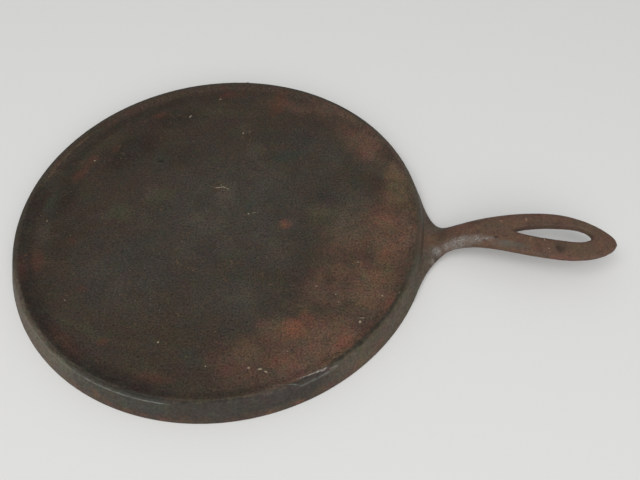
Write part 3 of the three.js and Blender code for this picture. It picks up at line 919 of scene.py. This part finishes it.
def discGrid(cells, height, lift):    # points of a square grid pressed into a disc, and its rim in order
    points, rows = [], []
    for j in range(cells + 1):
        row = []
        for i in range(cells + 1):
            u, v = 2 * i / cells - 1, 2 * j / cells - 1
            if abs(u) > abs(v):
                reach, angle = u, pi / 4 * v / u
            elif v != 0:
                reach, angle = v, pi / 2 - pi / 4 * u / v
            else:
                reach, angle = 0, 0
            x, y = seamRadius * reach * cos(angle), seamRadius * reach * sin(angle)
            row.append(len(points))
            points.append((x, y, height + lift(x, y)))
        rows.append(row)
    rim = [rows[0][i] for i in range(cells)] + [rows[j][cells] for j in range(cells)]
    rim += [rows[cells][i] for i in range(cells, 0, -1)] + [rows[j][0] for j in range(cells, 0, -1)]
    return points, rows, rim


def gridFaces(rows):
    return [(near[i], near[i + 1], far[i + 1], far[i]) for near, far in zip(rows, rows[1:])
            for i in range(len(near) - 1)]


def faceRelief(x, y):
    return reliefAt(x, y, plateTop) - dentAt(x, y)


def underRelief(x, y):
    return -reliefAt(x, y, plateUnder, plateShape["underRelief"])


def griddlePlate():
    points, rows, rim = discGrid(plateShape["cells"], plateTop, faceRelief)
    faces = gridFaces(rows)
    underPoints, underRows, underRim = discGrid(plateShape["underCells"], plateUnder, underRelief)
    first = len(points)
    points += underPoints
    under = [[first + spot for spot in row] for row in underRows]
    faces += [face[:1] + face[:0:-1] for face in gridFaces(under)]    # turned over
    count = len(underRim)
    for i in range(count):    # two rim points above for each one below
        a, b, c = rim[2 * i], rim[2 * i + 1], rim[(2 * i + 2) % (2 * count)]
        d, e = first + underRim[i], first + underRim[(i + 1) % count]
        faces += [(a, d, b), (b, d, e), (b, e, c)]
    return meshObject("griddlePlate", points, faces, cookingFaceMaterial())


# Side wall with rim, cove and foot, turned about the pan's axis
wallShape = {
    "rimRadius": 128.1,
    "landWidth": 2.4,
    "coveWidth": 6.2,      # a shallow slope from the land down to the cooking face
    "thickness": 5.2,
    "topRounding": 1.9,
    "footRounding": 1.0,
    "fillet": 2.5,
    "coveEase": 0.4,       # share of the slope's width over which it bends at each end
    "step": 0.74,          # mm between points along the section
    "levelFrom": 0.9,      # a surface that faces up by more than this takes the full relief
    "sideRelief": 0.55,    # strength of the relief on the steep sides
    "plainFoot": 0.5,      # mm above the table without relief
    "burrZone": 2,         # mm below the rim's top that the burr reaches
}


def wallRadius(height):
    return footRadius + (wallShape["rimRadius"] - footRadius) * height / panHeight


def curve(points, steps):    # Bezier curve through its first and last point
    out = []
    for k in range(steps + 1):
        t = k / steps
        row = [Vector(p) for p in points]
        while len(row) > 1:
            row = [a.lerp(b, t) for a, b in zip(row, row[1:])]
        out.append(row[0])
    return out


def wallSection():    # radius and height along the section, from the seam below round to the seam above
    s = wallShape
    inner = lambda height: wallRadius(height) - s["thickness"]
    land = s["rimRadius"] - s["landWidth"]
    cove, ease = land - s["coveWidth"], s["coveWidth"] * s["coveEase"]
    foot, top, fillet = s["footRounding"], s["topRounding"], s["fillet"]
    legs = [    # where each line or curve bends and ends
        [(inner(plateUnder) - fillet, plateUnder)],
        [(inner(plateUnder), plateUnder), (inner(plateUnder - fillet), plateUnder - fillet)],
        [(inner(foot), foot)],
        [(inner(0), 0), (inner(0) + foot, 0)],
        [(footRadius - foot, 0)],
        [(footRadius, 0), (wallRadius(foot), foot)],
        [(wallRadius(panHeight - top), panHeight - top)],
        [(s["rimRadius"], panHeight), (s["rimRadius"] - top, panHeight)],
        [(land, panHeight)],
        [(land - ease, panHeight), (cove + ease, plateTop), (cove, plateTop)],
        [(seamRadius, plateTop)],
    ]
    at = (seamRadius, plateUnder)
    section = []
    for leg in legs:
        part = [at, *leg]
        at = leg[-1]
        length = sum((Vector(b) - Vector(a)).length for a, b in zip(part, part[1:]))
        fineness = s["step"] if len(part) == 2 else s["step"] / 2
        section += curve(part, max(2, round(length / fineness)))[:-1]
    return section + [Vector(at)]


def sideWall():
    shape = wallShape
    section = wallSection()
    last = len(section) - 1
    outward = [Vector((0, -1))]
    for k in range(1, last):
        along = (section[k + 1] - section[k - 1]).normalized()
        outward.append(Vector((along.y, -along.x)))
    outward.append(Vector((0, 1)))
    burrX, burrY, burrReach, burrHeight = relief["burr"]
    points, faces = [], []
    for i in range(ringSteps):
        angle = -pi * 3 / 4 + 2 * pi * i / ringSteps    # begins at the plate's first rim point
        c, s = cos(angle), sin(angle)
        for spot, push in zip(section, outward):
            x, y, z = spot.x * c, spot.x * s, spot.y
            strength = 1.0 if push.y > shape["levelFrom"] or z < plateUnder else shape["sideRelief"]
            lift = reliefAt(x, y, z, strength) if z > shape["plainFoot"] else 0.0
            burrAway = hypot(x - burrX, y - burrY)
            if z > panHeight - shape["burrZone"] and burrAway < burrReach:
                lift += burrHeight * (1 - burrAway / burrReach)
            points.append((x + push.x * c * lift, y + push.x * s * lift, min(panHeight, z + push.y * lift)))
    size = len(section)
    for i in range(ringSteps):
        a, b = i * size, (i + 1) % ringSteps * size
        faces += [(a + k, b + k, b + k + 1, a + k + 1) for k in range(last)]
        faces.append((a + last, b + last, b, a))
    return meshObject("sideWall", points, faces, rimAndWallMaterial())


# Handle: flared root, oval neck, flat loop with a hanging slot
handleShape = {
    "neckWidth": 17.4, "neckOffset": 0.7, "rootFlare": 35, "rootFlareReach": 15.5, "rootFlareSharpness": 2.5,
    "rootOffset": -1,
    "loopWidth": 33.2, "loopEndLength": 36, "loopEndSharpness": 0.64, "loopOffset": 0.6,
    "swellSharpness": 1.6,
    "rootThickness": 8.4, "neckThickness": 9.2, "loopThickness": 4.8, "tipRounding": 2.4,
    "rootHeight": 4.3, "crestHeight": 19.9, "crestReach": 68, "riseStart": 5.5, "riseSharpness": 3.4,
    "riseSoftness": 0.05, "tipDroop": 3.8, "droopSharpness": 1.5,
    "rootLowness": 0.15, "loopLowness": 0.45, "neckRoundness": 0.9, "loopRoundness": 0.45,
    "slotLength": 47.5, "slotWidth": 11.2, "slotEndLength": 12, "slotPointSharpness": 0.64, "slotToTip": 15,
    "slotOffset": 1.6, "slotLean": 0.034, "slotEdgeRounding": 1.4, "slotSteps": 24, "slotEdgeSteps": 8,
    "sunkInWall": 2.0,       # how far the root reaches into the wall
    "wedgeSunk": 0.35,       # depth under the wall's face of the strip that the root is blended with
    "wedgeTurn": 26,         # degrees to each side that this strip spreads
    "wedgeLow": 0.4, "wedgeBelowRim": 1.3, "wedgeThickness": 2.4, "wedgeSteps": 60,
    "blendReach": 7,         # mm from the wall's face over which the root is smoothed into it
    "blendFull": 0.4,        # share of that reach where the smoothing is full
    "blendSteps": 40,
    "stations": 150, "sectionSteps": 72, "envelopeSteps": 180, "voxel": 0.5, "smoothing": 3,
    "relief": 0.7,           # strength of the relief
    "dentsFrom": 0.5,        # the surface takes dents where it faces up by more than this
    "lowest": 0.1, "clear": 0.02,    # mm above the table that it keeps before and after its relief
}
neckPlace = footRadius + handleShape["rootFlareReach"]
loopMiddle = handleTip - handleShape["loopEndLength"]
rootStart = sqrt(footRadius ** 2 - (handleShape["neckWidth"] / 2 + handleShape["rootFlare"]) ** 2)


def mix(a, b, t):
    return a + (b - a) * t


def smoothStep(value, low, high):
    t = min(1, max(0, (value - low) / (high - low)))
    return t * t * (3 - 2 * t)


def handleHalfWidth(distance):
    h = handleShape
    if distance < neckPlace:
        back = min(1, (neckPlace - distance) / (neckPlace - rootStart))
        return h["neckWidth"] / 2 + h["rootFlare"] * back ** h["rootFlareSharpness"]
    if distance < loopMiddle:
        along = (distance - neckPlace) / (loopMiddle - neckPlace)
        swell = sin(along * pi / 2) ** h["swellSharpness"]
        return mix(h["neckWidth"] / 2, h["loopWidth"] / 2, swell)
    beyond = (distance - loopMiddle) / h["loopEndLength"]
    return h["loopWidth"] / 2 * max(0, 1 - beyond ** 2) ** h["loopEndSharpness"]


def handleSideways(distance):    # the casting runs a little askew
    h = handleShape
    root = mix(h["rootOffset"], h["neckOffset"], smoothStep(distance, footRadius, neckPlace))
    return mix(root, h["loopOffset"], smoothStep(distance, neckPlace, loopMiddle))


def handleThickness(distance):
    h = handleShape
    thick = mix(h["rootThickness"], h["neckThickness"], smoothStep(distance, footRadius, neckPlace))
    thick = mix(thick, h["loopThickness"], smoothStep(distance, neckPlace, loopMiddle))
    intoTip = max(0, distance - (handleTip - h["tipRounding"])) / h["tipRounding"]
    return thick * sqrt(max(0, 1 - intoTip ** 2))


def handleHeight(distance):
    h = handleShape
    crestPlace = footRadius + h["crestReach"]
    if distance < crestPlace:
        along = (distance - footRadius - h["riseStart"]) / (h["crestReach"] - h["riseStart"])
        eased = (along + sqrt(along ** 2 + h["riseSoftness"] ** 2)) / 2
        return mix(h["crestHeight"], h["rootHeight"], abs(1 - eased) ** h["riseSharpness"])
    beyond = (distance - crestPlace) / (handleTip - crestPlace)
    return h["crestHeight"] - h["tipDroop"] * beyond ** h["droopSharpness"]


def handleSection(distance):
    h = handleShape
    flatness = smoothStep(distance, neckPlace, loopMiddle)
    roundness = mix(h["neckRoundness"], h["loopRoundness"], flatness)
    lift = smoothStep(distance, footRadius, neckPlace + h["rootFlareReach"])
    lowness = mix(h["rootLowness"], h["loopLowness"], lift)
    half, thick, sideways = handleHalfWidth(distance), handleThickness(distance), handleSideways(distance)
    outline = []
    for i in range(h["sectionSteps"]):
        turn = 2 * pi * i / h["sectionSteps"]
        across = copysign(abs(cos(turn)) ** roundness, cos(turn))
        up = abs(sin(turn)) ** roundness
        share = lowness + (1 - lowness) * up if sin(turn) > 0 else lowness * (1 - up)
        outline.append((distance, sideways + half * across, thick * (share - 0.5)))
    return outline


def loft(outlines):    # a closed skin over outlines with the same number of points
    count, last = len(outlines[0]), len(outlines) - 1
    points = [p for outline in outlines for p in outline]
    faces = []
    for row in range(last):
        for i in range(count):
            a, b = row * count + i, row * count + (i + 1) % count
            faces.append((a, b, b + count, a + count))
    for row in (0, last):
        middle = sum((Vector(p) for p in outlines[row]), Vector()) / count
        points.append(tuple(middle))
        for i in range(count):
            a, b = row * count + i, row * count + (i + 1) % count
            faces.append((b, a, len(points) - 1) if row == 0 else (a, b, len(points) - 1))
    return points, faces


def slotOutline(height, margin):
    h = handleShape
    roundEnd = handleTip - h["slotToTip"] + margin
    point = handleTip - h["slotToTip"] - h["slotLength"] - margin
    endLength = h["slotEndLength"] + margin
    half = h["slotWidth"] / 2 + margin
    widest = roundEnd - endLength
    shares = [i / h["slotSteps"] for i in range(h["slotSteps"])]
    side = [(mix(point, widest, t), half * sin(t * pi / 2) ** h["slotPointSharpness"]) for t in shares]
    side += [(widest + endLength * sin(t * pi / 2), half * cos(t * pi / 2)) for t in shares]
    middle = h["loopOffset"] + h["slotOffset"]
    lean = lambda x: middle + h["slotLean"] * (x - (point + roundEnd) / 2)
    near = [(x, lean(x) - y, height) for x, y in side]
    far = [(x, lean(x) + y, height) for x, y in side[1:]]
    return near + [(roundEnd, lean(roundEnd), height)] + far[::-1]


def slotCutter():
    h = handleShape
    rounding = h["slotEdgeRounding"]
    straight = h["loopThickness"] / 2 - rounding
    upper = []
    for i in range(h["slotEdgeSteps"] + 1):
        turn = i / h["slotEdgeSteps"] * pi / 2
        upper.append((straight + rounding * sin(turn), rounding * (1 - cos(turn))))
    upper.append((h["loopThickness"], rounding * 2))
    lower = [(-height, margin) for height, margin in upper][::-1]
    return loft([slotOutline(height, margin) for height, margin in lower + upper])


def wallEnvelope():    # the wall's outer slope, sunk a little, as a solid that trims the root
    steps = handleShape["envelopeSteps"]
    rings = []
    for height in (-panHeight, panHeight * 2):
        radius = wallRadius(height) - handleShape["sunkInWall"]
        turns = [2 * pi * i / steps for i in range(steps)]
        rings.append([(radius * cos(turn), radius * sin(turn), height) for turn in turns])
    return loft(rings)


def wallStrip():    # a strip just under the wall's face behind the root, for the root to be blended with
    h = handleShape
    low, high = h["wedgeLow"], panHeight - h["wedgeBelowRim"]
    near, far = h["wedgeSunk"], h["wedgeSunk"] + h["wedgeThickness"]
    outlines = []
    for i in range(h["wedgeSteps"] + 1):
        turn = radians(mix(-h["wedgeTurn"], h["wedgeTurn"], i / h["wedgeSteps"]))
        outlines.append([((wallRadius(z) - d) * cos(turn), (wallRadius(z) - d) * sin(turn), z)
                         for z, d in ((low, near), (high, near), (high, far), (low, far))])
    return loft(outlines)


def addSkin(piece, points, faces):    # more closed skin in the same mesh
    b = bmesh.new()
    b.from_mesh(piece.data)
    spots = [b.verts.new(((x + panX) * mm, y * mm, z * mm)) for x, y, z in points]
    for face in faces:
        b.faces.new([spots[i] for i in face])
    b.to_mesh(piece.data)
    b.free()


def settle(piece):    # turns the piece's modifiers into plain mesh
    evaluated = piece.evaluated_get(bpy.context.evaluated_depsgraph_get())
    mesh = bpy.data.meshes.new_from_object(evaluated)
    old = piece.data
    piece.modifiers.clear()
    piece.data = mesh
    bpy.data.meshes.remove(old)


def cutAway(piece, points, faces):
    tool = meshObject("cutter", points, faces, piece.data.materials[0])
    cut = piece.modifiers.new("cut", "BOOLEAN")
    cut.operation = "DIFFERENCE"
    cut.solver = "EXACT"
    cut.object = tool
    settle(piece)
    bpy.data.objects.remove(tool)


def nearWall(x, y, z):    # 1 at the wall's face, fading to 0 at the blend's reach
    h = handleShape
    clear = abs(hypot(x, y) - wallRadius(z))
    return 1 - smoothStep(clear, h["blendReach"] * h["blendFull"], h["blendReach"])


def placeOf(vertex):    # mm from the pan's axis
    return vertex.co.x / mm - panX, vertex.co.y / mm, vertex.co.z / mm


def soften(piece, steps, group=""):
    ease = piece.modifiers.new("soften", "SMOOTH")
    ease.factor = 0.5
    ease.iterations = steps
    ease.vertex_group = group
    settle(piece)


def loopHandle():
    h = handleShape
    sections = []
    for i in range(h["stations"]):
        along = sin(i / h["stations"] * pi / 2)
        sections.append(handleSection(mix(rootStart - h["sunkInWall"], handleTip, along)))
    piece = meshObject("loopHandle", *loft(sections), handleMaterial())
    cutAway(piece, *slotCutter())
    for v in piece.data.vertices:
        v.co.z += handleHeight(v.co.x / mm - panX) * mm
        v.co.z = max(v.co.z, h["lowest"] * mm)
    cutAway(piece, *wallEnvelope())
    addSkin(piece, *wallStrip())
    even = piece.modifiers.new("even", "REMESH")
    even.mode = "VOXEL"
    even.voxel_size = h["voxel"] * mm
    even.use_smooth_shade = True
    soften(piece, h["smoothing"])
    root = piece.vertex_groups.new(name="root")
    for v in piece.data.vertices:
        share = nearWall(*placeOf(v))
        if share > 0:
            root.add([v.index], share, "REPLACE")
    soften(piece, h["blendSteps"], "root")
    mesh = piece.data
    lifts = [reliefAt(*placeOf(v), h["relief"]) for v in mesh.vertices]
    pushes = [v.normal.copy() for v in mesh.vertices]
    for v, lift, push in zip(mesh.vertices, lifts, pushes):
        if push.z > h["dentsFrom"]:
            lift -= dentAt(*placeOf(v)[:2])
        v.co += push * lift * mm
        v.co.z = max(v.co.z, h["clear"] * mm)
    return piece


tableLook = {"halfSize": 6, "color": tone(222, 222, 220), "rough": 0.6, "gloss": 0.2}


def addStage():
    size = tableLook["halfSize"]
    mesh = bpy.data.meshes.new("table")
    corners = [(-size, -size, 0), (size, -size, 0), (size, size, 0), (-size, size, 0)]
    mesh.from_pydata(corners, [], [(0, 1, 2, 3)])
    table = bpy.data.objects.new("table", mesh)
    scene.collection.objects.link(table)
    material, shader = newMaterial("paleTable")
    shader.inputs["Base Color"].default_value = tableLook["color"]
    shader.inputs["Roughness"].default_value = tableLook["rough"]
    shader.inputs["Specular IOR Level"].default_value = tableLook["gloss"]
    mesh.materials.append(material)


studioLight = {
    "sky": (0.97, 0.98, 1.0), "skyStrength": 0.48,
    "lamps": [    # name, place in metres, size, power and colour
        ("softboxAbove", (-0.61, -0.52, 1.74), 1.0, 8, (1.0, 0.99, 0.98)),
        ("softboxInFront", (0.5, -1.6, 1.5), 2.2, 31, (1.0, 0.99, 0.98)),
    ],
}


def addLight():
    world = bpy.data.worlds.new("studio")
    scene.world = world
    world.use_nodes = True
    shade = world.node_tree.nodes["Background"]
    shade.inputs[0].default_value = (*studioLight["sky"], 1)
    shade.inputs[1].default_value = studioLight["skyStrength"]
    for name, place, size, power, color in studioLight["lamps"]:
        lamp = bpy.data.lights.new(name, "AREA")
        lamp.shape = "SQUARE"
        lamp.size = size
        lamp.energy = power
        lamp.color = color
        box = bpy.data.objects.new(name, lamp)
        box.location = place
        box.rotation_euler = (-Vector(place)).to_track_quat("-Z", "Y").to_euler()
        scene.collection.objects.link(box)


plate = griddlePlate()
print("plate made:", len(plate.data.polygons), "faces")
wall = sideWall()
print("side wall made:", len(wall.data.polygons), "faces")
handle = loopHandle()
print("handle made:", len(handle.data.polygons), "faces")

for piece, node, slot in ((plate, "griddle_plate", "cooking_face"), (wall, "side_wall", "rim_and_wall"),
                          (handle, "loop_handle", "handle")):
    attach(piece, "root")
    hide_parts(node)

addStage()
addLight()
print("table and light set")
